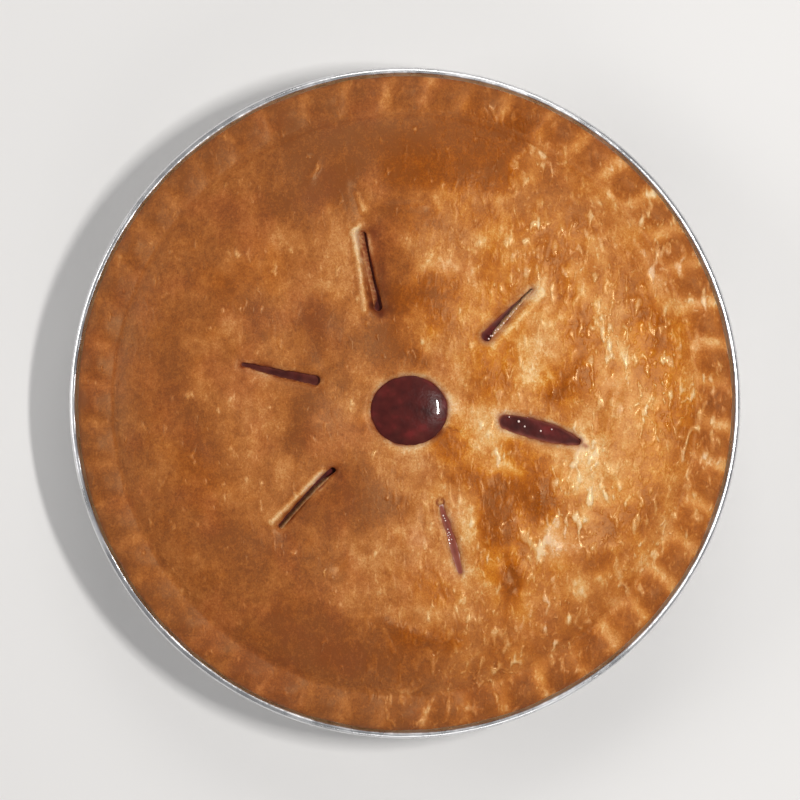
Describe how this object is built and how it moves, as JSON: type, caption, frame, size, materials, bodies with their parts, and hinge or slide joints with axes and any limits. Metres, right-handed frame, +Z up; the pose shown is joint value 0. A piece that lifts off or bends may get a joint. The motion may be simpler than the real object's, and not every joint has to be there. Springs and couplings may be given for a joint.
{
  "type": "cherry pie",
  "caption": "Round double-crust cherry pie in a foil pan, with a domed golden lid, a round vent, radial slits showing dark filling, and a crimped edge.",
  "frame": {"origin": "centre of the pan's underside, on the table", "axes": "+Z up through the middle of the pie, +Y and +X across it; the widest slit points to +X"},
  "size_m": [0.2278, 0.2278, 0.0442],
  "materials": {
    "foil": "thin pressed foil, bright, finely crinkled",
    "under_pastry": "pale baked pastry, dry",
    "cherry_gel": "thick glossy cherry filling",
    "baked_pastry": "egg-washed crust, golden with darker patches, semi-gloss"
  },
  "bodies": {
    "root": {"pan": "foil", "bottom_crust": "under_pastry", "filling": "cherry_gel", "top_crust": "baked_pastry"}
  },
  "joints": []
}
